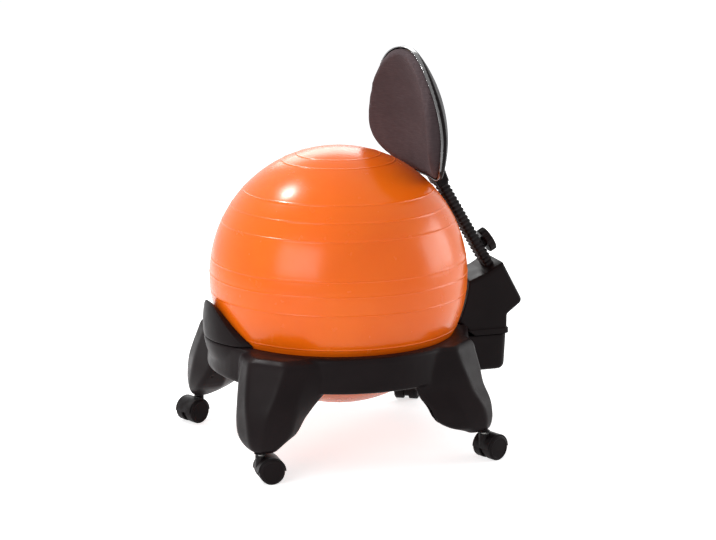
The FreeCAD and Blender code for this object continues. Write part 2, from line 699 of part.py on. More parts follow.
def bar_route():
    """Middle line of the bar in the YZ plane: its bend, and where it lies on the board."""
    lean, tilt = math.radians(size("post_lean")), math.radians(size("back_tilt"))
    up = vector(0, -math.sin(lean), math.cos(lean))
    start = vector(0, size("post_foot_y"), size("post_foot_z"))
    bend = start + up * size("bar_bend")
    forward = vector(0, -math.cos(tilt), -math.sin(tilt))
    centre = vector(0, size("back_y"), size("back_z")) + forward * size("dish_radius")
    radius = size("dish_radius + board_thickness - 1 + bar_thickness / 2 + 0.1")
    inward = centre - bend
    run = math.sqrt(inward.Length ** 2 - radius ** 2)
    swing = math.degrees(math.asin(radius / inward.Length))
    straight = FreeCAD.Rotation(X_AXIS, -swing).multVec(inward).normalize()
    touch = bend + straight * run
    return start + up * size("bar_bottom"), bend, touch, straight, up


def post_bar():
    low, bend, touch, straight, up = bar_route()
    turn = up.getAngle(straight)
    setback = size("bar_bend_radius") * math.tan(turn / 2)
    before, after = bend - up * setback, bend + straight * setback
    bisector = (straight - up).normalize()
    middle = bend + bisector * (size("bar_bend_radius") * (1 / math.cos(turn / 2) - 1))
    end = touch + straight * size("bar_tail")
    path = Part.Wire([Part.makeLine(low, before), Part.Arc(before, middle, after).toShape(),
                      Part.makeLine(after, end)])
    half_width, half = size("bar_width") / 2, size("bar_thickness") / 2
    rear = vector(0, up.z, -up.y)
    corners = [low + X_AXIS * half_width * a + rear * half * b for a, b in ((-1, -1), (1, -1), (1, 1), (-1, 1))]
    profile = Part.makePolygon(corners + [corners[0]])
    return path.makePipeShell([profile], True, False), touch, straight


bar, bar_touch, bar_straight = post_bar()


def bar_bolt_seats():
    """Frames on the rear face of the bar, Z to the rear."""
    rear = vector(0, bar_straight.z, -bar_straight.y)
    turn = FreeCAD.Rotation(Z_AXIS, rear)
    spots = []
    for step in (-1, 1):
        spot = bar_touch + bar_straight * step * size("bar_bolt_spread")
        spots.append(FreeCAD.Placement(spot + rear * size("bar_thickness") / 2, turn))
    return spots


def bolt_hole(seat, radius, front, rear=1.0):
    """Cutter along a bolt, from in front of its seat to behind it."""
    shape = Part.makeCylinder(radius, front + rear, vector(0, 0, -front))
    shape.Placement = seat
    return shape


for seat in bar_bolt_seats():
    bar = bar.cut(bolt_hole(seat, size("bar_bolt_radius"), size("bar_thickness + 1")))
shape_node("post_bar", bar)


# Backrest: fabric and foam on a dished board, in a moulded shell

def back_oval(outset):
    """Oval of the backrest, a little wider low down, as a face in its own XZ plane."""
    half_width, half_height = size("back_half_width") + outset, size("back_half_height") + outset
    power = 2 / size("back_squareness")
    points = []
    steps = 24
    for step in range(steps):
        angle = 2 * math.pi * step / steps
        across, rise = math.cos(angle), math.sin(angle)
        z = half_height * math.copysign(abs(rise) ** power, rise)
        x = half_width * math.copysign(abs(across) ** power, across)
        points.append(vector(x * (1 - size("back_egg") * z / half_height), 0, z))
    curve = Part.BSplineCurve()
    curve.interpolate(points, PeriodicFlag=True)
    return Part.Face(Part.Wire(curve.toShape()))


def back_prism(outset):
    deep = size("dish_radius")
    oval = back_oval(outset)
    oval.translate(vector(0, -deep / 2, 0))
    return oval.extrude(vector(0, deep, 0))


def dish_ball(behind):
    """Ball whose rear is the dished surface, so far behind the seam of pad and shell."""
    radius = size("dish_radius")
    return Part.makeSphere(radius + behind, vector(0, -radius, 0))


def crown_ball(inset):
    """Ball whose rear is the front of the pad."""
    radius = size("crown_radius")
    return Part.makeSphere(radius + inset, vector(0, -radius - size("foam_depth"), 0))


def pad_solid(inset):
    """The pad's outer form, drawn in by inset all round its front and sides."""
    solid = back_prism(-0.5 - inset).common(dish_ball(-1)).cut(crown_ball(inset))
    round_off = size("pad_round") - inset
    front = edges_where(solid, lambda edge: abs(abs(edge.CenterOfMass.x)) < 1
                        and edge.BoundBox.YLength > 20 and on_ball(edge, crown_ball(inset)))
    return solid.makeFillet(round_off, front)


def on_ball(edge, ball):
    """Whether an edge lies on the surface of a ball."""
    centre, radius = ball.CenterOfMass, ball.BoundBox.XLength / 2
    return all(abs((vertex.Point - centre).Length - radius) < 0.5 for vertex in edge.Vertexes)


def board_solid():
    behind = size("board_thickness") - 1
    return back_prism(-size("board_inset")).common(dish_ball(behind)).cut(dish_ball(-1))


def back_screw_spots():
    side, rise = size("back_screw_x"), size("back_screw_z")
    radius = size("dish_radius")
    depth = radius - math.sqrt(radius ** 2 - side ** 2 - rise ** 2)
    return [vector(x, -depth, z) for x in (-side, side) for z in (-rise, rise)]


def shell_screw_seats():
    """Frames under the heads of the screws, sunk into the shell's rear, in the backrest's frame."""
    radius = size("dish_radius + shell_depth")
    seats = []
    for spot in back_screw_spots():
        flush = math.sqrt(radius ** 2 - spot.x ** 2 - spot.z ** 2) - size("dish_radius")
        seat = vector(spot.x, flush - size("shell_screw_sink"), spot.z)
        seats.append(FreeCAD.Placement(seat, FreeCAD.Rotation(X_AXIS, -90)))
    return seats


def neck_outline(inset):
    """Housing over the post's end in the shell: (y, z) corners in the chair's frame."""
    frame = post_frame(size("bellows_length - mouth_depth") + inset)
    half = size("neck_depth") / 2 - inset
    mouth_front = frame.multVec(vector(0, -half, 0))
    mouth_rear = frame.multVec(vector(0, half, 0))
    bulge = mouth_rear + vector(0, -size("neck_draw"), 0.28 * size("neck_rise"))
    rear = vector(0, bar_straight.z, -bar_straight.y)
    behind = size("bar_thickness / 2 + bar_bolt_head + spine_room + shell_wall") - inset
    reach = bar_straight * size("bar_bolt_spread + 4 * bar_bolt_radius")
    under, over = (bar_touch - reach + rear * behind, bar_touch + reach + rear * behind)
    top = bar_touch.z + size("bar_tail + neck_rise / 3") - inset
    radius = size("dish_radius + shell_depth")
    tilt = math.radians(size("back_tilt"))
    centre_y = size("back_y") - size("dish_radius") * math.cos(tilt)
    centre_z = size("back_z") - size("dish_radius") * math.sin(tilt)
    wall_y = centre_y + math.sqrt(radius ** 2 - (top - centre_z) ** 2) - 1.5
    front = frame.multVec(vector(0, -half, 24))
    return [(mouth_front.y, mouth_front.z), (mouth_rear.y, mouth_rear.z), (bulge.y, bulge.z),
            (under.y, under.z), (over.y, over.z), (wall_y, top), (front.y, top), (front.y, front.z)]


def post_box(width, depth, low, high):
    """Block about the post's line between two heights along it."""
    block = Part.makeBox(width, depth, high - low, vector(-width / 2, -depth / 2, low))
    block.Placement = post_frame()
    return block


def shell_solid():
    wall, depth, rim = size("shell_wall"), size("shell_depth"), size("shell_rim")
    outer = back_prism(rim).common(dish_ball(depth))
    rear = edges_where(outer, lambda edge: on_ball(edge, dish_ball(depth)))
    outer = outer.makeFillet(size("shell_round"), rear)
    neck = side_prism(neck_outline(0), size("neck_width") / 2)
    uprights = edges_where(neck, lambda edge: edge.BoundBox.XLength < 0.1)
    neck = neck.makeFillet(size("shell_round"), [edge for edge in uprights if outside_rear(edge)])
    neck.transformShape(back_frame().inverse().toMatrix())
    hollow = side_prism(neck_outline(wall), size("neck_width") / 2 - wall)
    floor = size("bellows_length")
    hollow = hollow.cut(post_box(size("neck_width"), size("neck_depth") * 2, 0, floor + wall))
    hollow = hollow.fuse([post_box(size(BELLOWS[0] + " + rib_height + 0.6"),
                                   size(BELLOWS[1] + " + rib_height + 0.6"), floor - 30, floor),
                          post_box(size("bar_width") + 1.2, size("bar_thickness") + 2,
                                   floor - 1, floor + wall + 1)])
    hollow.transformShape(back_frame().inverse().toMatrix())
    solid = outer.fuse(neck).cut(dish_ball(-size("shell_lip")))
    tray = back_prism(0).common(dish_ball(depth - wall))
    solid = solid.cut([tray, hollow])
    bosses = []
    for spot in back_screw_spots():
        boss = Part.makeCylinder(size("back_boss_radius"), depth * 2, spot, Y_AXIS)
        bosses.append(boss.common(dish_ball(depth - wall + 1)).cut(dish_ball(size("board_thickness - 1"))))
    solid = solid.fuse(bosses)
    for seat in shell_screw_seats():
        solid = solid.cut([bolt_hole(seat, 2, depth * 2), bolt_hole(seat, 4.7, 0, depth)])
    return max(solid.Solids, key=lambda part: part.Volume)


def outside_rear(edge):
    """Upright edges of the neck at its rear side."""
    outline = neck_outline(0)
    rear = outline[1:6]
    middle = edge.CenterOfMass
    for (y1, z1), (y2, z2) in zip(rear, rear[1:]):
        if abs(middle.y - (y1 + y2) / 2) < 0.5 and abs(middle.z - (z1 + z2) / 2) < 0.5:
            return True
    return False


def backrest():
    frame = back_frame()
    bolts = []
    for seat in bar_bolt_seats():
        bolts.append(seat)
    cover_outer, foam = pad_solid(0), pad_solid(size("fabric_thickness"))
    tee = size("bar_bolt_radius")
    board = board_solid()
    rooms = []
    for seat in bolts:
        local = frame.inverse().multiply(seat)
        board = board.cut(bolt_hole(local, tee, 40))
        rooms.append(bolt_hole(local, tee + 1, size("bar_thickness + board_thickness") + 4))
    board = board.cut([Part.makeCylinder(2, 40, spot - vector(0, 20, 0), Y_AXIS)
                       for spot in back_screw_spots()])
    fabric = cover_outer.cut(foam)
    foam = foam.cut(rooms)
    shape_node("backrest_fabric", fabric, frame)
    shape_node("backrest_foam", foam, frame)
    shape_node("backrest_board", board, frame)
    shape_node("backrest_shell", shell_solid(), frame)
    seats = [frame.multiply(seat) for seat in shell_screw_seats()]
    screw_set("shell_screws", seats, "4.5", "2.4", "2", "shell_depth - shell_screw_sink + 0.5")
    screw_set("bar_bolts", bolts, "bar_bolt_radius + 2", "bar_bolt_head", "bar_bolt_radius",
              "bar_thickness + board_thickness + 2")


backrest()


# Bellows over the post

def bellows_section(along, swell):
    """Rounded rectangle across the post."""
    width, depth = size(BELLOWS[0]) + 2 * swell, size(BELLOWS[1]) + 2 * swell
    corners = [vector(a * width / 2, b * depth / 2, along) for a, b in ((-1, -1), (1, -1), (1, 1), (-1, 1))]
    return rounded_wire(corners, [3 + swell] * 4)


def bellows_solid():
    """Ribbed rubber sleeve with its bore. Each rib has four sections."""
    length, pitch, cuff, rise = (size(name) for name in
                                 ("bellows_length", "rib_pitch", "cuff_length", "rib_height"))
    count = int((length - 2 * cuff) / pitch)
    step = (length - 2 * cuff) / count
    sections = [bellows_section(0, rise * 0.5), bellows_section(cuff - 1, rise * 0.5)]
    for rib in range(count):
        start = cuff + rib * step
        sections.append(bellows_section(start, 0))
        sections.append(bellows_section(start + 0.22 * step, 0))
        sections.append(bellows_section(start + 0.5 * step, rise))
        sections.append(bellows_section(start + 0.72 * step, rise))
    sections.append(bellows_section(length - cuff, 0))
    sections.append(bellows_section(length - cuff + 1, rise * 0.5))
    sections.append(bellows_section(length, rise * 0.5))
    outer = Part.makeLoft(sections, True, True)
    width, depth = size(BELLOWS_BORE[0]), size(BELLOWS_BORE[1])
    bore = Part.makeBox(width, depth, length + 2, vector(-width / 2, -depth / 2, -1))
    hole = Part.makeCylinder(size("boss_radius + 1"), 40, vector(0, 0, size("height_knob_at")), Y_AXIS)
    return outer.cut([bore, hole])


shape_node("bellows", bellows_solid(), post_frame())


# Bracket of the back, sliding on the rear block

PLATE_BOTTOM = "block_top + plate_gap"
PLATE_TOP = "block_top + plate_gap + plate_thickness"


def cheek_outline():
    """Side cheek between the plate and the sleeve, as (y, z) corners."""
    frame = post_frame()
    top = size("cheek_top")
    half = size(SLEEVE[1]) / 2 + 2.5
    front = frame.multVec(vector(0, -half, -top))
    rear = frame.multVec(vector(0, half, -top))
    low_rear = frame.multVec(vector(0, half, size("sleeve_bottom") + 4))
    low_front = frame.multVec(vector(0, -half, size("sleeve_bottom") + 12))
    plate = size(PLATE_TOP)
    heel = size("block_rear") - 12
    return [(heel - 34, plate), (heel, plate), (heel + 2, size("cover_neck_top")),
            (low_rear.y, low_rear.z - 8), (low_rear.y, low_rear.z), (rear.y, rear.z),
            (front.y, front.z), (low_front.y - 12, low_front.z - 12)]


def back_bracket():
    """Slotless sliding plate with two upright cheeks that hold the sleeve."""
    front, rear = size("plate_front"), size("plate_rear")
    width, bottom = size("plate_width"), size(PLATE_BOTTOM)
    plate = Part.makeBox(width, rear - front, size("plate_thickness"), vector(-width / 2, front, bottom))
    inner = size(SLEEVE[0]) / 2
    thick = size("cheek_thickness")
    cheeks = []
    for start in (inner, -inner - thick):
        cheeks.append(prism([vector(start, y, z) for y, z in cheek_outline()], vector(thick, 0, 0)))
    solid = plate.fuse(cheeks)
    screw = Part.makeCylinder(size("knob_screw_radius + thread_clearance"), 20,
                              vector(0, size("depth_knob_y"), bottom - 5))
    holes = [screw]
    for spot in cover_screw_spots():
        holes.append(Part.makeCylinder(2, 20, vector(spot.x, spot.y, bottom - 5)))
        holes.append(Part.makeCylinder(4, 2.5, spot))
    return solid.cut(holes)


def cover_screw_spots():
    """Under each lug of the cover, at the plate's underside."""
    side = size("cover_screw_x")
    front, rear = size("plate_front"), size("plate_rear")
    return [vector(x, y, size(PLATE_BOTTOM)) for x in (-side, side) for y in (front + 20, rear - 9)]


shape_node("back_bracket", back_bracket())
depth_nut = turned("depth_nut", [("knob_screw_radius + thread_clearance", PLATE_TOP), ("depth_nut_radius", PLATE_TOP),
                     ("depth_nut_radius", PLATE_TOP + " + depth_nut_height"),
                     ("knob_screw_radius + thread_clearance", PLATE_TOP + " + depth_nut_height")],
       place(y=size("depth_knob_y")))
knob_frame = post_frame(size("height_knob_at")).multiply(place(axis=X_AXIS, angle=-90))
sleeve_face = "(" + SLEEVE[1] + ") / 2"
turned("clamp_boss", [("knob_screw_radius + thread_clearance", sleeve_face), ("boss_radius", sleeve_face),
                      ("boss_radius", sleeve_face + " + boss_height"),
                      ("knob_screw_radius + thread_clearance", sleeve_face + " + boss_height")],
       knob_frame)


# Cover of the back

def cover_outline(inset):
    """Side view of the cover: corners (y, z) from the saddle round to the front shoulder."""
    frame = post_frame()
    front = frame.multVec(vector(0, -size("facet_front"), -inset))
    rear = frame.multVec(vector(0, size("facet_rear"), -inset))
    gap = size("plate_gap")
    floor = size("block_top") + gap
    neck = size("block_rear") - 1 - inset
    (low_y, low_z), (high_y, high_z) = saddle_slope(gap)
    slope = (high_z - low_z) / (high_y - low_y)
    far_y = size("cover_front")
    return [(far_y, low_z + slope * (far_y - low_y)), (low_y, low_z), (neck + inset, floor),
            (neck + inset, size("cover_neck_top")), (size("cover_bump_y"), size("cover_bump_z")),
            (rear.y, rear.z), (front.y, front.z), (size("cover_shoulder_y"), size("cover_shoulder_z")),
            (far_y, size("cover_shoulder_z"))]


def cover_solid():
    half, wall = size("cover_width") / 2, size("cover_wall")
    outline = cover_outline(0)
    solid = side_prism(outline, half)
    bump = edges_where(solid, lambda edge: edge.BoundBox.XLength > half
                       and abs(edge.CenterOfMass.z - size("cover_bump_z")) < 1)
    solid = solid.makeFillet(size("cover_bump_round"), bump)
    waist = edges_where(solid, lambda edge: edge.BoundBox.XLength > half
                        and abs(edge.CenterOfMass.z - size("cover_neck_top")) < 1
                        and edge.CenterOfMass.y > size("saddle_rear"))
    solid = solid.makeFillet(size("cover_bump_round") / 2, waist)
    sides = edges_where(solid, lambda edge: edge.BoundBox.XLength < 0.1
                        and edge.CenterOfMass.y > size("cover_front") + 1
                        and edge.CenterOfMass.z > size("cover_neck_top") - 30)
    solid = solid.makeFillet(size("cover_edge_round"), sides)
    face = Part.Face(Part.makePolygon([vector(0, y, z) for y, z in outline + outline[:1]]))
    inner = face.makeOffset2D(-wall).extrude(vector(2 * (half - wall), 0, 0))
    inner.translate(vector(-half + wall, 0, 0))
    centre = vector(0, 0, size("ball_height"))
    inner = inner.cut(Part.makeSphere(size("ball_diameter / 2 + cover_ball_gap") + wall, centre))
    low = size("block_top + plate_gap")
    bay = Part.makeBox(2 * (half - wall), size("block_rear") - 1 - wall - size("saddle_rear"), 40,
                       vector(-half + wall, size("saddle_rear"), low - 20))
    lip, lip_height = size("cover_lip"), size("cover_lip_height")
    skirt = side_prism([(size("saddle_front"), low), (size("block_rear") - 1 + lip, low),
                        (size("block_rear") - 1 + lip, low + lip_height),
                        (size("saddle_front"), low + lip_height)], half + lip)
    corner = edges_where(skirt, lambda edge: edge.BoundBox.ZLength > 5
                         and edge.CenterOfMass.y > size("block_rear") - 5)
    skirt = skirt.makeFillet(lip * 3, corner)
    (rear_y, rear_z), (front_y, front_z) = saddle_slope(size("plate_gap"))
    under = side_prism([(front_y - 20, front_z + 20 * (front_z - rear_z) / (rear_y - front_y)),
                        (rear_y, rear_z), (rear_y, rear_z - 60), (front_y - 20, rear_z - 60)], half * 2)
    solid = solid.fuse(skirt).cut(under)
    ball = Part.makeSphere(size("ball_diameter / 2 + cover_ball_gap"), centre)
    solid = solid.cut(ball).cut([inner, bay])
    lugs = []
    for spot in cover_screw_spots():
        side = 1 if spot.x > 0 else -1
        start = spot.x - 6 * side
        length = half - wall + 0.5 - abs(start)
        lug = Part.makeBox(length, 11, size("cover_lug_height"),
                           vector(min(start, start + side * length), spot.y - 5.5, size(PLATE_TOP)))
        lugs.append(lug)
    solid = solid.fuse(lugs)
    holes = [Part.makeCylinder(2, 16, vector(spot.x, spot.y, size(PLATE_TOP) - 1))
             for spot in cover_screw_spots()]
    window = post_box(size(SLEEVE[0]) + 1.2, size(SLEEVE[1]) + 1.2, -15, 15)
    return solid.cut(holes + [window])


shape_node("back_cover", cover_solid())
cover_seats = [FreeCAD.Placement(spot + vector(0, 0, 2.5), FreeCAD.Rotation(X_AXIS, 180))
               for spot in cover_screw_spots()]
screw_set("cover_screws", cover_seats, "3.9", "2.3", "2", "plate_thickness + 12")


# Knobs

def knob_solid(radius, height):
    """Fluted knob head on Z, with rounded rims."""
    head = Part.makeCylinder(radius, height)
    head = head.makeFillet(height * 0.2, edges_where(head, lambda edge: edge.BoundBox.ZLength < 0.01))
    flutes = int(size("knob_flutes"))
    for number in range(flutes):
        angle = 2 * math.pi * number / flutes
        away = radius + size("knob_flute_radius") * 0.45
        spot = vector(away * math.cos(angle), away * math.sin(angle), 0)
        head = head.cut(Part.makeCylinder(size("knob_flute_radius"), height, spot))
    return head


def height_knob():
    stand, start = size("knob_stand"), size("knob_hub_start")
    head = knob_solid(size("knob_radius"), size("knob_height"))
    head.translate(vector(0, 0, stand))
    hub = Part.makeCylinder(size("knob_hub_radius"), stand - start + 1, vector(0, 0, start))
    bore = Part.makeCylinder(size("knob_screw_radius"), stand + size("knob_height") / 2)
    return head.fuse(hub).cut(bore)


shape_node("height_knob", height_knob(), knob_frame)
tip = "bar_thickness / 2 + slide_clearance"
turned("height_knob_screw", [("0", tip), ("knob_screw_radius - 1", tip), ("knob_screw_radius", tip + " + 1"),
                             ("knob_screw_radius", "knob_stand + knob_height / 2"),
                             ("0", "knob_stand + knob_height / 2")], knob_frame)

depth_frame = place(0, size("depth_knob_y"), size("block_bottom"), X_AXIS, 180)


def depth_knob():
    radius, height = size("depth_knob_radius"), size("knob_height")
    head = knob_solid(radius, height)
    drop = size("depth_knob_drop")
    head.translate(vector(0, 0, drop))
    start = size("washer_height + 0.6")
    hub = Part.makeCylinder(size("knob_hub_radius"), drop - start + 1, vector(0, 0, start))
    bore = Part.makeCylinder(size("knob_screw_radius + thread_clearance"), drop + height / 2 + 1)
    return head.fuse(hub).cut(bore)


shape_node("depth_knob", depth_knob(), depth_frame)
reach = "block_bottom - (" + PLATE_TOP + ") - depth_nut_height - 3"
turned("depth_stud", [("0", reach), ("knob_screw_radius", reach),
                            ("knob_screw_radius", "depth_knob_drop + knob_height / 2"),
                            ("0", "depth_knob_drop + knob_height / 2")], depth_frame)
turned("depth_washer", [("knob_screw_radius + thread_clearance", "0.3"), ("washer_radius", "0.3"),
                        ("washer_radius", "0.3 + washer_height"),
                        ("knob_screw_radius + thread_clearance", "0.3 + washer_height")], depth_frame)

doc.recompute()
for thing in doc.Objects:
    if {"Invalid", "Error"} & set(thing.State):
        raise ValueError("%s did not build" % thing.Label)
for piece in pieces:
    if piece.Shape.isNull() or not piece.Shape.isValid():
        raise ValueError("%s has no sound shape" % piece.Label)

os.makedirs("parts", exist_ok=True)
for piece in pieces:
    piece.Shape.exportStep("parts/%s.step" % piece.Label)
    print("%-28s %2d solids %12.0f mm3" % (piece.Label, len(piece.Shape.Solids), piece.Shape.Volume))
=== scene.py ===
import math

import bmesh
import bpy
from mathutils import Matrix, Vector


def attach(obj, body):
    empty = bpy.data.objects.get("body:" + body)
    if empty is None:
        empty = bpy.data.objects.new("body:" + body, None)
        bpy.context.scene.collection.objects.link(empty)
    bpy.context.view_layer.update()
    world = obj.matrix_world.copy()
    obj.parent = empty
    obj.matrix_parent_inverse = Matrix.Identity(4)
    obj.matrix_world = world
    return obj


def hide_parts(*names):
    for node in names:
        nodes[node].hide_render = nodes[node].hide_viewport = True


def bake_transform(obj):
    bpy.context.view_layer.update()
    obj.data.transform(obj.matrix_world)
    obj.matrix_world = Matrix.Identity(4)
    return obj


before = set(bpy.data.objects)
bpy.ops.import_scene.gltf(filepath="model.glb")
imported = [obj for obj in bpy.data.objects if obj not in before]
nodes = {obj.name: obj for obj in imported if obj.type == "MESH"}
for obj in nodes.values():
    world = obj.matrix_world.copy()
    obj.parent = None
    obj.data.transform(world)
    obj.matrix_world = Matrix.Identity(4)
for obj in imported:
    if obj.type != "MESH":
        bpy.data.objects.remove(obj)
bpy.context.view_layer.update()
scene = bpy.context.scene

# Lengths are in metres

# Seat ball: heights of the ridges from its centre, their width and rise, and the groove beside them
BALL_CENTRE = Vector((0, 0, 0.347))
BALL_RADIUS = 0.26
RIDGES = (0.246, 0.234, 0.176, 0.146, 0.114, 0.040, 0.010, -0.027, -0.099)
RIDGE_WIDTH = 0.0011
RIDGE_RISE = 0.0006
RIDGE_GROOVE = 0.0002

# Post and bellows
POST_FOOT = Vector((0, 0.3205, 0.347))
POST_LEAN = math.radians(30.5)
BELLOWS_LENGTH = 0.208
BELLOWS_SIZE = (0.0368, 0.0158)
BELLOWS_CORNER = 0.004
BELLOWS_CUFF = 0.005
CUFF_LIP = 0.0015
RIB_COUNT = 21
RIB_HEIGHT = 0.0030

# Backrest: outline, the dish of its shell, the crown of its pad
BACK_CENTRE = Vector((0, 0.2015, 0.6735))
BACK_TILT = math.radians(10)
BACK_HALF = (0.184, 0.131)
BACK_EGG = 0.15
BACK_SQUARENESS = 2.28
DISH_RADIUS = 0.270
CROWN_RADIUS = 0.310
FOAM_DEPTH = 0.024
SIDES_DEEPER = 0.020
SIDES_FULLER = 0.007
LIP_WIDTH = 0.0012
LIP_WIDER_ABOVE = 0.0035

# Backrest pad: how far it is drawn in, its rolled edge, its gaps to the dish, the board and the rim
PAD_SINK = 0.0015
PAD_ROLL = 0.009
SEAT_GAP = 0.0008
REAR_GAP = 0.0012
BOARD_GAP = 0.0011
RIM_GAP = 0.0008
STAPLED_DEPTH = 0.0045
SWELL_CAP = 0.0035

# Legs of the base: where a slit may be, and the beads that close it
LEG_MIDDLE = (0.21, 0.12)
LEG_REACH = 0.08
SLIT_HEIGHTS = (0.075, 0.17)
KNIFE_EDGE = math.radians(125)
BEAD_RADIUS = 0.0033
BEAD_SHIFT = 0.0016
BEAD_SPACING = 0.0018

# Camera at the photo's view, the floor and its own light, and the places the lamps are aimed at
PHOTO_AZIMUTH = math.radians(71.3)
PHOTO_ELEVATION = math.radians(12.74)
PHOTO_EYE = (4.4427, -1.4622, 1.4115)
PHOTO_LENS = 119.56
FLOOR_HALF = 12
FLOOR_LIFT = 0.66
BALL_AIM = (0, 0, 0.35)
CHAIR_AIM = (0, 0.1, 0.4)


# Materials

class Look:
    """A node material, with short calls to lay its nodes."""

    def __init__(self, name, color, roughness, metallic=0.0, specular=0.5):
        self.material = bpy.data.materials.new(name)
        self.material.use_nodes = True
        self.tree = self.material.node_tree
        self.shader = self.tree.nodes["Principled BSDF"]
        self.set("Base Color", (*color, 1))
        self.set("Roughness", roughness)
        self.set("Metallic", metallic)
        self.set("Specular IOR Level", specular)
        self.place = self.node("ShaderNodeTexCoord").outputs["Object"]
        self.height = None

    def set(self, socket, value):
        self.shader.inputs[socket].default_value = value

    def node(self, kind, **settings):
        made = self.tree.nodes.new(kind)
        for name, value in settings.items():
            setattr(made, name, value)
        return made

    def link(self, start, end):
        self.tree.links.new(start, end)

    def mapped(self, scale=(1, 1, 1), turn=(0, 0, 0)):
        mapping = self.node("ShaderNodeMapping")
        mapping.inputs["Scale"].default_value = scale
        mapping.inputs["Rotation"].default_value = turn
        self.link(self.place, mapping.inputs["Vector"])
        return mapping.outputs["Vector"]

    def noise(self, scale, detail=3.0, where=None, distortion=0.0):
        texture = self.node("ShaderNodeTexNoise")
        texture.inputs["Scale"].default_value = scale
        texture.inputs["Detail"].default_value = detail
        texture.inputs["Distortion"].default_value = distortion
        self.link(where or self.place, texture.inputs["Vector"])
        return texture.outputs["Fac"]

    def ramp(self, source, low, high, start=0.3, end=0.7):
        """Map a 0 to 1 value onto a range of numbers or colours."""
        if isinstance(low, tuple):
            ramp = self.node("ShaderNodeValToRGB")
            ramp.color_ramp.elements[0].position = start
            ramp.color_ramp.elements[1].position = end
            ramp.color_ramp.elements[0].color = (*low, 1)
            ramp.color_ramp.elements[1].color = (*high, 1)
            self.link(source, ramp.inputs["Fac"])
            return ramp.outputs["Color"]
        span = self.node("ShaderNodeMapRange")
        for name, value in (("From Min", start), ("From Max", end), ("To Min", low), ("To Max", high)):
            span.inputs[name].default_value = value
        self.link(source, span.inputs["Value"])
        return span.outputs["Result"]

    def math(self, operation, first, second=None):
        made = self.node("ShaderNodeMath", operation=operation)
        for socket, value in zip(made.inputs, (first, second)):
            if value is None:
                continue
            if isinstance(value, (int, float)):
                socket.default_value = value
            else:
                self.link(value, socket)
        return made.outputs["Value"]

    def mix(self, factor, first, second):
        """Blend two colours."""
        made = self.node("ShaderNodeMix", data_type="RGBA")
        for name, value in (("Factor", factor), ("A", first), ("B", second)):
            socket = [one for one in made.inputs if one.name == name and one.enabled][0]
            if isinstance(value, (int, float)):
                socket.default_value = value
            elif isinstance(value, tuple):
                socket.default_value = (*value, 1)
            else:
                self.link(value, socket)
        return [one for one in made.outputs if one.enabled][0]

    def color(self, source):
        self.link(source, self.shader.inputs["Base Color"])

    def roughness(self, source):
        self.link(source, self.shader.inputs["Roughness"])

    def bump(self, source, strength, distance):
        bump = self.node("ShaderNodeBump")
        bump.inputs["Strength"].default_value = strength
        bump.inputs["Distance"].default_value = distance
        self.link(source, bump.inputs["Height"])
        if self.height:
            self.link(self.height, bump.inputs["Normal"])
        self.height = bump.outputs["Normal"]
        self.link(self.height, self.shader.inputs["Normal"])

    def worn_edges(self, base, worn, start=0.52, end=0.6):
        """Edges rubbed paler, broken up by noise."""
        edge = self.node("ShaderNodeNewGeometry").outputs["Pointiness"]
        rubbed = self.ramp(edge, 0.0, 1.0, start, end)
        broken = self.ramp(self.noise(60, 4), 0.2, 1.0, 0.35, 0.65)
        return self.mix(self.math("MULTIPLY", rubbed, broken), base, worn)


def moulded_plastic(name, color, rough, grain=900, depth=0.00012, worn=0.5, specular=0.08):
    """Moulded plastic: fine spark texture, faint dulled patches, paler edges."""
    look = Look(name, color, rough, specular=specular)
    patches = look.noise(9, 4)
    darker = tuple(part * 0.8 for part in color)
    paler = tuple(part * 1.25 for part in color)
    base = look.ramp(patches, darker, paler, 0.35, 0.65)
    edge = tuple(part + (0.12 - part) * 0.35 * worn for part in color)
    look.color(look.worn_edges(base, edge))
    look.roughness(look.ramp(look.noise(28, 5), rough - 0.06, rough + 0.09))
    look.bump(look.noise(grain, 2), 0.5, depth)
    return look.material


def ball_vinyl():
    """Blown vinyl: glossy, with soft waves in its wall and slight clouds in its colour."""
    look = Look("ball_vinyl", (0.98, 0.155, 0.003), 0.26, specular=0.35)
    clouds = look.noise(4, 3, distortion=0.4)
    look.color(look.ramp(clouds, (0.96, 0.14, 0.002), (1.0, 0.17, 0.005), 0.3, 0.7))
    look.roughness(look.ramp(look.noise(30, 4), 0.20, 0.28))
    look.set("Subsurface Weight", 0.1)
    look.set("Subsurface Radius", (0.02, 0.004, 0.001))
    look.set("Subsurface Scale", 0.4)
    look.bump(look.noise(6, 2), 0.15, 0.0015)
    return look.material


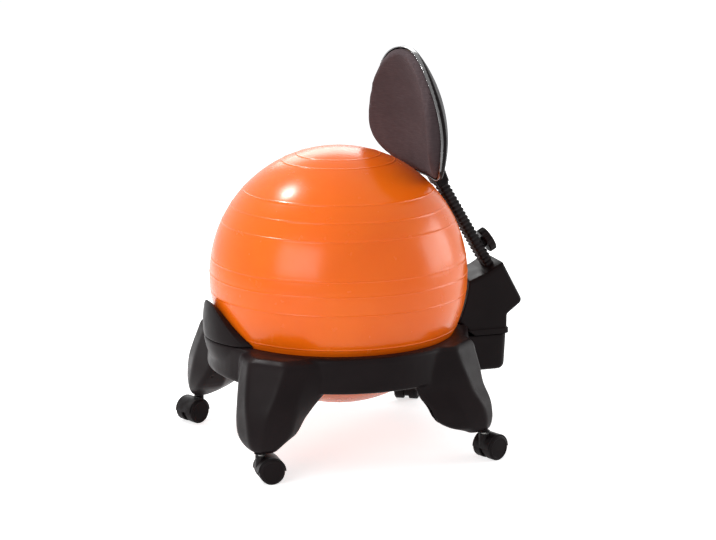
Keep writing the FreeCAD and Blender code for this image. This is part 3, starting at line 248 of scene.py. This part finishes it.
def woven_fabric():
    """Dark upholstery cloth: plain weave of two thread sets with slubs, mottling and a fine nap."""
    look = Look("upholstery", (0.072, 0.050, 0.053), 0.9, specular=0.1)
    cloth = look.mapped(turn=(-BACK_TILT, 0, 0))
    axes = look.node("ShaderNodeSeparateXYZ")
    look.link(cloth, axes.inputs["Vector"])
    turn = 2 * math.pi / 0.0016
    warp = look.math("SINE", look.math("MULTIPLY", axes.outputs["X"], turn))
    weft = look.math("SINE", look.math("MULTIPLY", axes.outputs["Z"], turn))
    crossing = look.math("MULTIPLY", warp, weft)
    weave = look.ramp(crossing, 0.0, 1.0, -1.0, 1.0)
    slubs = look.noise(1.0, 3, look.mapped((60, 60, 900), (-BACK_TILT, 0, 0)))
    mottled = look.noise(16, 5)
    threads = look.ramp(weave, (0.046, 0.032, 0.034), (0.100, 0.070, 0.074), 0.0, 1.0)
    streaked = look.mix(look.ramp(slubs, 0.0, 0.5, 0.4, 0.75), threads, (0.125, 0.092, 0.096))
    look.color(look.mix(look.ramp(mottled, 0.0, 0.5, 0.35, 0.7), streaked, (0.052, 0.036, 0.039)))
    look.set("Sheen Weight", 0.08)
    look.set("Sheen Roughness", 0.45)
    look.set("Sheen Tint", (0.75, 0.65, 0.68, 1))
    look.bump(weave, 0.5, 0.0003)
    look.bump(slubs, 0.3, 0.0003)
    return look.material


def gloss_lip():
    """The shell's front lip, polished bright, with a faint ripple and hairline scuffs."""
    look = Look("shell_lip", (0.008, 0.006, 0.0065), 0.16, specular=0.8)
    look.set("IOR", 1.9)
    scuffs = look.noise(1.0, 3, look.mapped((400, 30, 30), (0.4, 0.7, 0.2)))
    look.roughness(look.ramp(scuffs, 0.12, 0.25, 0.55, 0.8))
    look.color(look.ramp(look.noise(8, 3), (0.0065, 0.0048, 0.0052), (0.011, 0.0082, 0.009)))
    look.bump(look.noise(12, 2), 0.15, 0.0006)
    return look.material


def rubber(name):
    """Black rubber with a dusty bloom in random patches."""
    look = Look(name, (0.010, 0.008, 0.009), 0.55, specular=0.2)
    look.color(look.ramp(look.noise(70, 5), (0.007, 0.006, 0.0065), (0.022, 0.018, 0.019), 0.4, 0.8))
    look.roughness(look.ramp(look.noise(120, 4), 0.42, 0.7))
    look.bump(look.noise(1400, 2), 0.3, 0.00008)
    return look.material


def metal(name, color, rough, stretch):
    """Drawn or turned steel with fine lines along one axis."""
    look = Look(name, color, rough, metallic=1.0)
    lines = look.noise(1.0, 4, look.mapped(stretch))
    look.roughness(look.ramp(lines, rough - 0.08, rough + 0.15))
    paler = tuple(min(part * 1.2, 1) for part in color)
    look.color(look.ramp(look.noise(90, 4), color, paler))
    look.bump(lines, 0.2, 0.00004)
    return look.material


def black_paint():
    """Powder coat: black, with a fine orange peel."""
    look = Look("black_powder", (0.012, 0.010, 0.011), 0.42, specular=0.25)
    look.color(look.ramp(look.noise(20, 3), (0.009, 0.008, 0.0085), (0.018, 0.015, 0.016)))
    look.roughness(look.ramp(look.noise(200, 3), 0.34, 0.5))
    look.bump(look.noise(700, 2), 0.35, 0.0001)
    return look.material


def plywood():
    look = Look("plywood", (0.5, 0.34, 0.2), 0.6)
    grain = look.noise(1.0, 6, look.mapped((300, 300, 12)), 1.0)
    look.color(look.ramp(grain, (0.36, 0.22, 0.12), (0.62, 0.45, 0.28)))
    look.bump(grain, 0.3, 0.0002)
    return look.material


def foam():
    look = Look("foam", (0.78, 0.72, 0.5), 0.95)
    cells = look.noise(700, 2)
    look.color(look.ramp(cells, (0.6, 0.54, 0.36), (0.85, 0.8, 0.6)))
    look.bump(cells, 0.8, 0.0006)
    return look.material


MATERIALS = {
    "base": moulded_plastic("base_plastic", (0.0095, 0.0060, 0.0064), 0.38),
    "ball": ball_vinyl(),
    "plug": moulded_plastic("plug_plastic", (0.75, 0.74, 0.7), 0.4, worn=0, specular=0.5),
    "caster": moulded_plastic("caster_nylon", (0.0065, 0.0042, 0.0046), 0.33, 1600, 0.00005),
    "tread": moulded_plastic("caster_tread", (0.0075, 0.0050, 0.0054), 0.5, 1100, 0.0001),
    "knob": moulded_plastic("knob_plastic", (0.010, 0.0068, 0.0073), 0.38, 1300, 0.0001),
    "nylon": moulded_plastic("natural_nylon", (0.7, 0.68, 0.62), 0.45, worn=0, specular=0.5),
    "steel": metal("zinc_steel", (0.58, 0.57, 0.55), 0.3, (900, 900, 60)),
    "paint": black_paint(),
    "rubber": rubber("bellows_rubber"),
    "shell": moulded_plastic("shell_satin", (0.0065, 0.0045, 0.0048), 0.42, 900, 0.00008, worn=0),
    "lip": gloss_lip(),
    "fabric": woven_fabric(),
    "wood": plywood(),
    "foam": foam(),
}

NODE_LOOKS = {
    "base_frame": "base", "front_ball_stop": "base", "back_cover": "base",
    "ball_stop_screws": "steel", "cover_screws": "steel", "shell_screws": "steel",
    "bar_bolts": "steel", "depth_nut": "steel", "depth_washer": "steel",
    "depth_stud": "steel", "height_knob_screw": "steel", "clamp_boss": "paint",
    "ball_plug": "plug", "back_bracket": "paint", "post_sleeve": "paint", "post_bar": "paint",
    "sleeve_bush": "nylon", "depth_knob": "knob", "height_knob": "knob",
    "backrest_shell": "shell", "backrest_board": "wood", "backrest_foam": "foam",
    "backrest_fabric": "fabric", "bellows": "rubber", "ball": "ball",
}


def look_of(name):
    """The look of a node; a caster's pieces go by the end of their name."""
    if name in NODE_LOOKS:
        return NODE_LOOKS[name]
    if name.endswith(("_stem", "_axle")):
        return "steel"
    return "tread" if name.endswith("_wheel") else "caster"


for name, thing in nodes.items():
    thing.data.materials.clear()
    thing.data.materials.append(MATERIALS[look_of(name)])


# Mesh helpers

def new_piece(name, verts, faces, look, smooth=True):
    mesh = bpy.data.meshes.new(name)
    mesh.from_pydata([tuple(spot) for spot in verts], [], faces)
    mesh.validate()
    mesh.update()
    for face in mesh.polygons:
        face.use_smooth = smooth
    piece = bpy.data.objects.new(name, mesh)
    scene.collection.objects.link(piece)
    if look:
        mesh.materials.append(MATERIALS[look])
    return piece


def applied(piece):
    """Turn a piece's modifiers into its mesh."""
    bpy.context.view_layer.update()
    graph = bpy.context.evaluated_depsgraph_get()
    mesh = bpy.data.meshes.new_from_object(piece.evaluated_get(graph))
    piece.modifiers.clear()
    old = piece.data
    piece.data = mesh
    bpy.data.meshes.remove(old)


def grid_faces(rows, columns):
    """Quads between closed rows of points."""
    faces = []
    for row in range(rows - 1):
        for column in range(columns):
            ahead = (column + 1) % columns
            faces.append((row * columns + column, row * columns + ahead,
                          (row + 1) * columns + ahead, (row + 1) * columns + column))
    return faces


def outer_skin(node):
    """Copy of a CAD node's mesh without the closed hollow inside it."""
    work = bmesh.new()
    work.from_mesh(nodes[node].data)
    bmesh.ops.remove_doubles(work, verts=work.verts, dist=1e-6)
    left = set(work.verts)
    islands = []
    while left:
        seed = left.pop()
        island, edge = {seed}, [seed]
        while edge:
            for link in edge.pop().link_edges:
                for vert in link.verts:
                    if vert in left:
                        left.remove(vert)
                        island.add(vert)
                        edge.append(vert)
        islands.append(island)

    def spread(island):
        return sum(max(v.co[i] for v in island) - min(v.co[i] for v in island) for i in range(3))

    keep = max(islands, key=spread)
    bmesh.ops.delete(work, geom=[vert for vert in work.verts if vert not in keep], context="VERTS")
    mesh = bpy.data.meshes.new(node + "_skin")
    work.to_mesh(mesh)
    work.free()
    return mesh


def slit_edges(work):
    """Knife edges on the legs, each with the way out of the leg and the way its tip points."""
    for edge in work.edges:
        middle = (edge.verts[0].co + edge.verts[1].co) / 2
        if min(abs(middle.x), abs(middle.y)) < LEG_REACH:
            continue
        if not SLIT_HEIGHTS[0] < middle.z < SLIT_HEIGHTS[1]:
            continue
        if len(edge.link_faces) != 2 or not edge.is_convex:
            continue
        normals = [face.normal for face in edge.link_faces]
        if normals[0].angle(normals[1], 0) < KNIFE_EDGE:
            continue
        aside, rise = LEG_MIDDLE
        leg = Vector((math.copysign(aside, middle.x), math.copysign(aside, middle.y), rise))
        outer = max(normals, key=lambda normal: normal.dot(middle - leg))
        yield edge, outer, (normals[0] + normals[1]).normalized()


def slits_closed(mesh):
    """Beads under the edges of the slits where a leg's hollow meets its flank, to make the flank whole."""
    work = bmesh.new()
    work.from_mesh(mesh)
    spots = []
    for edge, outer, tip in slit_edges(work):
        steps = max(1, math.ceil(edge.calc_length() / BEAD_SPACING))
        for step in range(steps + 1):
            spot = edge.verts[0].co.lerp(edge.verts[1].co, step / steps)
            spots.append(spot - outer * BEAD_RADIUS + tip * BEAD_SHIFT)
    bead = bmesh.new()
    bmesh.ops.create_icosphere(bead, subdivisions=1, radius=BEAD_RADIUS)
    bead.verts.index_update()
    for spot in spots:
        corners = [work.verts.new(spot + vert.co) for vert in bead.verts]
        for face in bead.faces:
            work.faces.new([corners[vert.index] for vert in face.verts])
    work.to_mesh(mesh)
    work.free()
    bead.free()


def softened(name, node, look, voxel, passes, body, mend=None):
    """Moulded piece: the CAD form remeshed evenly, its edges eased as a mould leaves them."""
    mesh = outer_skin(node)
    if mend:
        mend(mesh)
    piece = bpy.data.objects.new(name, mesh)
    scene.collection.objects.link(piece)
    remesh = piece.modifiers.new("Even", "REMESH")
    remesh.mode = "VOXEL"
    remesh.voxel_size = voxel
    remesh.use_smooth_shade = True
    ease = piece.modifiers.new("Ease", "SMOOTH")
    ease.factor = 0.5
    ease.iterations = passes
    applied(piece)
    piece.data.materials.clear()
    piece.data.materials.append(MATERIALS[look])
    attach(piece, body)
    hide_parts(node)
    return piece


# Seat ball: vinyl skin with its raised rings

def seat_ball():
    """The ball is turned from a profile; each ring is a low rounded bead."""
    profile = []
    steps, fine_step, columns = 260, 0.0011, 288
    angles = [math.pi * step / steps - math.pi / 2 for step in range(steps + 1)]
    middles = [math.asin(height / BALL_RADIUS) for height in RIDGES]
    for middle in middles:
        angles += [middle + offset * fine_step for offset in range(-6, 7)]
    angles = sorted(set(round(angle, 5) for angle in angles))
    for angle in angles:
        radius = BALL_RADIUS
        for middle in middles:
            off = (angle - middle) * BALL_RADIUS / RIDGE_WIDTH
            radius += RIDGE_RISE * math.exp(-off * off) - RIDGE_GROOVE * math.exp(-(abs(off) - 2.2) ** 2)
        profile.append((radius * math.cos(angle), radius * math.sin(angle)))
    verts = []
    for radius, height in profile[1:-1]:
        for column in range(columns):
            turn = 2 * math.pi * column / columns
            verts.append(BALL_CENTRE + Vector((radius * math.cos(turn), radius * math.sin(turn), height)))
    rows = len(profile) - 2
    faces = grid_faces(rows, columns)
    low, high = len(verts), len(verts) + 1
    verts += [BALL_CENTRE - Vector((0, 0, BALL_RADIUS)), BALL_CENTRE + Vector((0, 0, BALL_RADIUS))]
    for column in range(columns):
        ahead = (column + 1) % columns
        faces.append((low, ahead, column))
        faces.append((high, (rows - 1) * columns + column, (rows - 1) * columns + ahead))
    piece = new_piece("seat_ball_skin", verts, faces, "ball")
    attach(piece, "seat_ball")
    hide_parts("ball")


# Bellows on the post

def post_point(along, across, rear):
    """A point beside the post: so far up it, to the side and to the rear."""
    up = Vector((0, -math.sin(POST_LEAN), math.cos(POST_LEAN)))
    back = Vector((0, math.cos(POST_LEAN), math.sin(POST_LEAN)))
    return POST_FOOT + up * along + Vector((across, 0, 0)) + back * rear


def rounded_rectangle(width, depth, radius, steps=5, spacing=0.004):
    """Points round a rounded rectangle."""
    points = []
    corners = ((1, 1), (-1, 1), (-1, -1), (1, -1))

    def on_corner(number, turn):
        a, b = corners[number % 4]
        return (a * (width / 2 - radius) + radius * math.cos(turn),
                b * (depth / 2 - radius) + radius * math.sin(turn))

    for corner in range(4):
        points += [on_corner(corner, math.pi / 2 * (corner + step / steps)) for step in range(steps + 1)]
        start, end = points[-1], on_corner(corner + 1, math.pi / 2 * (corner + 1))
        pieces = max(1, int(math.dist(start, end) / spacing))
        for step in range(1, pieces):
            share = step / pieces
            points.append((start[0] + (end[0] - start[0]) * share, start[1] + (end[1] - start[1]) * share))
    return points


def bellows():
    """Moulded rubber bellows: rounded crests, tight valleys and plain cuffs."""
    width, depth = BELLOWS_SIZE
    pitch = (BELLOWS_LENGTH - 2 * BELLOWS_CUFF) / RIB_COUNT
    lip_end = BELLOWS_CUFF * 0.8
    sections = [(0.0, CUFF_LIP), (lip_end, CUFF_LIP), (BELLOWS_CUFF, 0.0002)]
    steps = 10
    for rib in range(RIB_COUNT):
        for step in range(1, steps + 1):
            share = step / steps
            fuller = 0.0001 + RIB_HEIGHT * abs(math.sin(math.pi * share ** 1.4)) ** 0.8
            sections.append((BELLOWS_CUFF + (rib + share) * pitch, fuller))
    sections += [(BELLOWS_LENGTH - lip_end, CUFF_LIP), (BELLOWS_LENGTH - 0.0002, CUFF_LIP)]
    verts, columns = [], 0
    for along, fuller in sections:
        outline = rounded_rectangle(width + 2 * fuller, depth + 2 * fuller, BELLOWS_CORNER + fuller * 0.5)
        columns = columns or len(outline)
        if len(outline) != columns:
            outline = rounded_rectangle(width, depth, BELLOWS_CORNER)
            grow_x, grow_y = 1 + 2 * fuller / width, 1 + 2 * fuller / depth
            outline = [(x * grow_x, y * grow_y) for x, y in outline]
        verts += [post_point(along, x, y) for x, y in outline]
    faces = grid_faces(len(sections), columns)
    piece = new_piece("bellows_skin", verts, faces, "rubber")
    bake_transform(piece)
    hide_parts("bellows")


# Backrest pad

def back_point(x, y, z):
    """A point of the backrest's own frame, in the chair's."""
    turn = Matrix.Rotation(BACK_TILT, 3, "X")
    return BACK_CENTRE + turn @ Vector((x, y, z))


def oval(angle, inset):
    """The backrest's outline, a little wider low down."""
    power = 2 / BACK_SQUARENESS
    across, rise = math.cos(angle), math.sin(angle)
    half_width, half_height = BACK_HALF[0] - inset, BACK_HALF[1] - inset
    z = half_height * math.copysign(abs(rise) ** power, rise)
    x = half_width * math.copysign(abs(across) ** power, across)
    return x * (1 - BACK_EGG * z / half_height), z


def pad_front(x, z):
    """Depth of the pad's crowned front, in the backrest's own frame."""
    fuller = SIDES_FULLER * (x / BACK_HALF[0]) ** 2
    return -CROWN_RADIUS - FOAM_DEPTH + math.sqrt(CROWN_RADIUS ** 2 - x * x - z * z) - fuller


def side_drop(x):
    """How far the backrest's rear lies behind a plain dish towards its sides, where it is thickest."""
    return SIDES_DEEPER * (abs(x) / BACK_HALF[0]) ** 4


def pad_seat(x, z, gap=SEAT_GAP):
    """Depth of the dish that the pad sits in, drawn forward by a gap."""
    return -DISH_RADIUS + math.sqrt((DISH_RADIUS - gap) ** 2 - x * x - z * z) + side_drop(x)


def in_back(spot):
    """A point of the chair's frame, in the backrest's own."""
    return Matrix.Rotation(-BACK_TILT, 3, "X") @ (spot - BACK_CENTRE)


def outward(x, z, inset=0.0):
    """How far out a point lies: 1 on the backrest's outline, drawn in by inset."""
    half_width, half_height = BACK_HALF[0] - inset, BACK_HALF[1] - inset
    across = x / (1 - BACK_EGG * z / half_height) / half_width
    power = BACK_SQUARENESS
    return (abs(across) ** power + abs(z / half_height) ** power) ** (1 / power)


def pad_form(sink, roll):
    """Closed skin of the pad: crowned front, rolled edge, straight side, dished rear."""
    columns, inner, edge = 200, 24, 14
    rear_insets = (0, 0.002, 0.02, 0.05, 0.09)
    nearby = 0.001
    rings = [[] for row in range(inner + edge + 1 + len(rear_insets))]
    for column in range(columns):
        x, z = oval(2 * math.pi * column / columns, sink)
        far = math.hypot(x, z)
        x, z = x / far, z / far
        tip = pad_front(x * far, z * far) + sink
        slope = (tip - sink - pad_front(x * (far - nearby), z * (far - nearby))) / nearby
        steep = math.hypot(slope, 1)
        centre = (far - roll, tip + roll * (steep - slope))
        start = math.atan2(-1 / steep, slope / steep)
        curve = []
        for row in range(1, inner + 1):
            out = (centre[0] + roll * slope / steep) * (row / inner) ** 0.8
            curve.append((out, pad_front(x * out, z * out) + sink))
        for row in range(1, edge + 1):
            turn = start * (1 - row / edge)
            curve.append((centre[0] + roll * math.cos(turn), centre[1] + roll * math.sin(turn)))
        seat = pad_seat(x * far, z * far)
        curve.append((far, (centre[1] + seat) / 2))
        for inset in rear_insets:
            out = far - inset
            curve.append((out, pad_seat(x * out, z * out, REAR_GAP)))
        for ring, (out, y) in zip(rings, curve):
            ring.append((x * out, y, z * out))
    rows = len(rings)
    verts = [vert for ring in rings for vert in ring]
    faces = grid_faces(rows, columns)
    middle = len(verts)
    verts += [(0, pad_front(0, 0) + sink, 0), (0, pad_seat(0, 0, REAR_GAP), 0)]
    last = (rows - 1) * columns
    for column in range(columns):
        ahead = (column + 1) % columns
        faces.append((middle, column, ahead))
        faces.append((middle + 1, last + ahead, last + column))
    return [back_point(*vert) for vert in verts], faces


def swell(piece, held, cap):
    """Foam fills its cover: cloth under slight pressure, fixed where held, no point moved past the cap."""
    group = piece.vertex_groups.new(name="held")
    group.add([vert.index for vert in piece.data.vertices if held(vert.co)], 1.0, "REPLACE")
    start = [vert.co.copy() for vert in piece.data.vertices]
    cloth = piece.modifiers.new("Swell", "CLOTH")
    last_frame = 20
    cloth.point_cache.frame_start = 1
    cloth.point_cache.frame_end = last_frame
    settings = cloth.settings
    settings.quality = 6
    settings.mass = 0.2
    settings.use_pressure = True
    settings.uniform_pressure_force = 4
    settings.vertex_group_mass = "held"
    settings.effector_weights.gravity = 0
    for number in range(1, last_frame + 1):
        scene.frame_set(number)
    applied(piece)
    scene.frame_set(1)
    for vert, before in zip(piece.data.vertices, start):
        move = vert.co - before
        if move.length > cap:
            vert.co = before + move * (cap / move.length)


def within_tray(spot):
    """Nearest place for a point of the pad in front of its board and inside the shell's rim."""
    x, y, z = in_back(spot)
    far = outward(x, z, RIM_GAP)
    if far > 1:
        x, z = x / far, z / far
    return back_point(x, min(max(y, pad_front(x, z)), pad_seat(x, z, BOARD_GAP)), z)


def backrest_pad():
    """Foam pad in tight cloth: crowned front, rolled edge pulled in to the shell."""
    verts, faces = pad_form(PAD_SINK, PAD_ROLL)
    piece = new_piece("backrest_pad", verts, faces, None)
    work = bmesh.new()
    work.from_mesh(piece.data)
    bmesh.ops.recalc_face_normals(work, faces=work.faces)
    work.to_mesh(piece.data)
    work.free()
    remesh = piece.modifiers.new("Even", "REMESH")
    remesh.mode = "VOXEL"
    remesh.voxel_size = 0.004
    remesh.use_smooth_shade = True
    applied(piece)
    def stapled(spot):
        x, y, z = in_back(spot)
        return y > pad_seat(x, z) - STAPLED_DEPTH

    swell(piece, stapled, SWELL_CAP)
    for vert in piece.data.vertices:
        vert.co = within_tray(vert.co)
    smooth = piece.modifiers.new("Smooth", "SUBSURF")
    smooth.levels = smooth.render_levels = 1
    applied(piece)
    for face in piece.data.polygons:
        face.use_smooth = True
    piece.data.materials.clear()
    piece.data.materials.append(MATERIALS["fabric"])
    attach(piece, "backrest")
    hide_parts("backrest_fabric", "backrest_foam")


def deepened(name, node, look, voxel, passes):
    """A piece behind the pad, with its sides drawn back to where the pad is thickest."""
    piece = softened(name, node, look, voxel, passes, "backrest")
    for vert in piece.data.vertices:
        x, y, z = in_back(vert.co)
        vert.co = back_point(x, y + side_drop(x), z)
    return piece


def polished_lip(piece):
    """Gloss on the front part of the shell's wall, wider at the top."""
    piece.data.materials.append(MATERIALS["lip"])
    for face in piece.data.polygons:
        x, y, z = in_back(face.center)
        behind = math.hypot(x, y - side_drop(x) + DISH_RADIUS, z) - DISH_RADIUS
        wide = LIP_WIDTH + LIP_WIDER_ABOVE * max(0, z / BACK_HALF[1]) ** 2
        beside_pad = outward(x, z) > 1.003
        if beside_pad and behind < wide:
            face.material_index = 1


seat_ball()
bellows()
backrest_pad()
polished_lip(deepened("backrest_shell_moulding", "backrest_shell", "shell", 0.0011, 3))
deepened("backrest_board_ply", "backrest_board", "wood", 0.0013, 1)
softened("base_moulding", "base_frame", "base", 0.0017, 30, "frame", mend=slits_closed)
softened("ball_stop_moulding", "front_ball_stop", "base", 0.0018, 8, "frame")
softened("back_cover_moulding", "back_cover", "base", 0.0012, 5, "back_carriage")


def eased(thing):
    """A small round on the sharp edges of a piece that is shown as the CAD made it."""
    bevel = thing.modifiers.new("Eased", "BEVEL")
    bevel.width = 0.0004
    bevel.segments = 2
    bevel.limit_method = "ANGLE"
    bevel.angle_limit = math.radians(50)
    for face in thing.data.polygons:
        face.use_smooth = True
    weighted = thing.modifiers.new("Shading", "WEIGHTED_NORMAL")
    weighted.keep_sharp = True


for thing in nodes.values():
    if not thing.hide_render:
        eased(thing)


# Camera at the photo's view

def camera(azimuth, elevation):
    """Camera held upright, turned and tilted as the photo's was."""
    back = Vector((math.sin(azimuth) * math.cos(elevation), -math.cos(azimuth) * math.cos(elevation),
                   math.sin(elevation)))
    right = Vector((math.cos(azimuth), math.sin(azimuth), 0))
    up = back.cross(right)
    eye = bpy.data.objects.new("camera", bpy.data.cameras.new("camera"))
    scene.collection.objects.link(eye)
    turn = Matrix((right, up, back)).transposed().to_4x4()
    eye.matrix_world = Matrix.Translation(PHOTO_EYE) @ turn
    eye.data.sensor_width = 36
    eye.data.lens = PHOTO_LENS
    eye.data.clip_end = 60
    scene.camera = eye


# Floor, light and surround

def seen_directly(tree):
    """1 for camera, glossy and transmission rays, 0 for the light that falls on things."""
    rays = tree.nodes.new("ShaderNodeLightPath")
    seen = rays.outputs["Is Camera Ray"]
    for kind in ("Is Glossy Ray", "Is Transmission Ray"):
        larger = tree.nodes.new("ShaderNodeMath")
        larger.operation = "MAXIMUM"
        tree.links.new(seen, larger.inputs[0])
        tree.links.new(rays.outputs[kind], larger.inputs[1])
        seen = larger.outputs[0]
    return seen


def floor():
    """Plain pale floor, lifted to white where it is seen and still taking shadows."""
    half = FLOOR_HALF
    verts = [(-half, -half, 0), (half, -half, 0), (half, half, 0), (-half, half, 0)]
    piece = new_piece("floor", verts, [(0, 1, 2, 3)], None, smooth=False)
    look = Look("floor_paint", (0.86, 0.86, 0.86), 0.9, specular=0.0)
    look.set("Emission Color", (1, 1, 1, 1))
    lift = look.math("MULTIPLY", seen_directly(look.tree), FLOOR_LIFT)
    look.link(lift, look.shader.inputs["Emission Strength"])
    piece.data.materials.append(look.material)


def softbox(name, place, target, size, power):
    """An oblong soft lamp, turned to its target and itself unseen by the camera."""
    light = bpy.data.lights.new(name, "AREA")
    light.shape = "RECTANGLE"
    light.size, light.size_y = size
    light.energy = power
    lamp = bpy.data.objects.new(name, light)
    scene.collection.objects.link(lamp)
    lamp.location = place
    lamp.visible_camera = False
    lamp.rotation_euler = (Vector(target) - Vector(place)).to_track_quat("-Z", "Y").to_euler()


def surround():
    """Pale even light, and white where the surround itself is seen."""
    world = bpy.data.worlds.new("surround")
    scene.world = world
    world.use_nodes = True
    tree = world.node_tree
    shade = tree.nodes["Background"]
    shade.inputs["Color"].default_value = (0.93, 0.94, 0.96, 1)
    shade.inputs["Strength"].default_value = 0.45
    seen = tree.nodes.new("ShaderNodeBackground")
    seen.inputs["Color"].default_value = (1, 1, 1, 1)
    seen.inputs["Strength"].default_value = 1.0
    mix = tree.nodes.new("ShaderNodeMixShader")
    tree.links.new(seen_directly(tree), mix.inputs["Fac"])
    tree.links.new(shade.outputs[0], mix.inputs[1])
    tree.links.new(seen.outputs[0], mix.inputs[2])
    tree.links.new(mix.outputs[0], tree.nodes["World Output"].inputs["Surface"])


camera(PHOTO_AZIMUTH, PHOTO_ELEVATION)
floor()
surround()
softbox("key", (-1.05, -1.42, 3.02), BALL_AIM, (0.4, 0.4), 50)
softbox("window", (1.53, -2.14, 1.3), BALL_AIM, (1.8, 1.3), 30)
softbox("rear", (0.3, 3.2, 1.0), CHAIR_AIM, (2.0, 1.5), 40)
softbox("back", (-2.7, 0.8, 1.9), CHAIR_AIM, (2.0, 1.2), 26)
scene.view_settings.view_transform = "Standard"
